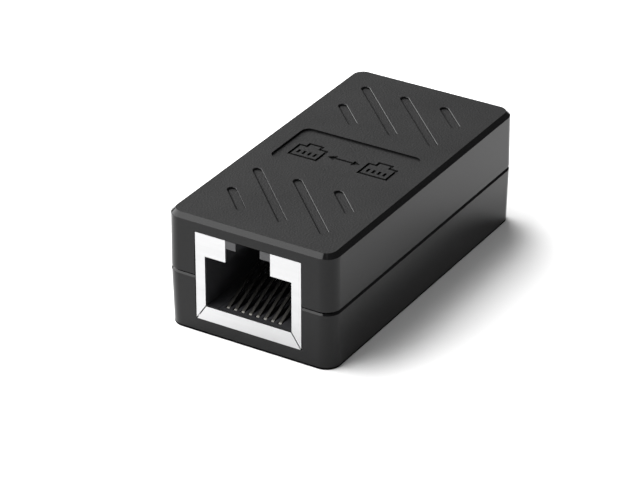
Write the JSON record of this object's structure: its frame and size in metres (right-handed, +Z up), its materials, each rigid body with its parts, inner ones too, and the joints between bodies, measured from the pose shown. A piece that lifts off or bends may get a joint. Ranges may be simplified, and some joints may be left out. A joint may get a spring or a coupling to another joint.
{
  "type": "rj45 inline coupler",
  "caption": "Shielded inline network coupler: a black two-half moulded box with a metal-framed modular jack at each end, wired straight through by a small circuit board.",
  "frame": {"origin": "middle of the underside, on the surface that the coupler rests on", "axes": "+Z up through the roof, X across the width, Y along the length; the front port faces -Y and the rear port +Y, both with their latch keyways towards +Z"},
  "size_m": [0.0228, 0.0444, 0.0152],
  "materials": {
    "shell_plastic": "fine-grained satin black moulding",
    "jack_plastic": "smooth black moulding",
    "shield_metal": "bright nickel-plated sheet",
    "contact_metal": "gold-plated spring wire",
    "board_laminate": "green solder-masked laminate"
  },
  "bodies": {
    "root": {"upper_shell": "shell_plastic", "lower_shell": "shell_plastic", "circuit_board": "board_laminate", "front_jack_shield": "shield_metal", "front_jack_housing": "jack_plastic", "front_contact_carrier": "jack_plastic", "front_contact_1": "contact_metal", "front_contact_2": "contact_metal", "front_contact_3": "contact_metal", "front_contact_4": "contact_metal", "front_contact_5": "contact_metal", "front_contact_6": "contact_metal", "front_contact_7": "contact_metal", "front_contact_8": "contact_metal", "rear_jack_shield": "shield_metal", "rear_jack_housing": "jack_plastic", "rear_contact_carrier": "jack_plastic", "rear_contact_1": "contact_metal", "rear_contact_2": "contact_metal", "rear_contact_3": "contact_metal", "rear_contact_4": "contact_metal", "rear_contact_5": "contact_metal", "rear_contact_6": "contact_metal", "rear_contact_7": "contact_metal", "rear_contact_8": "contact_metal"}
  },
  "joints": []
}
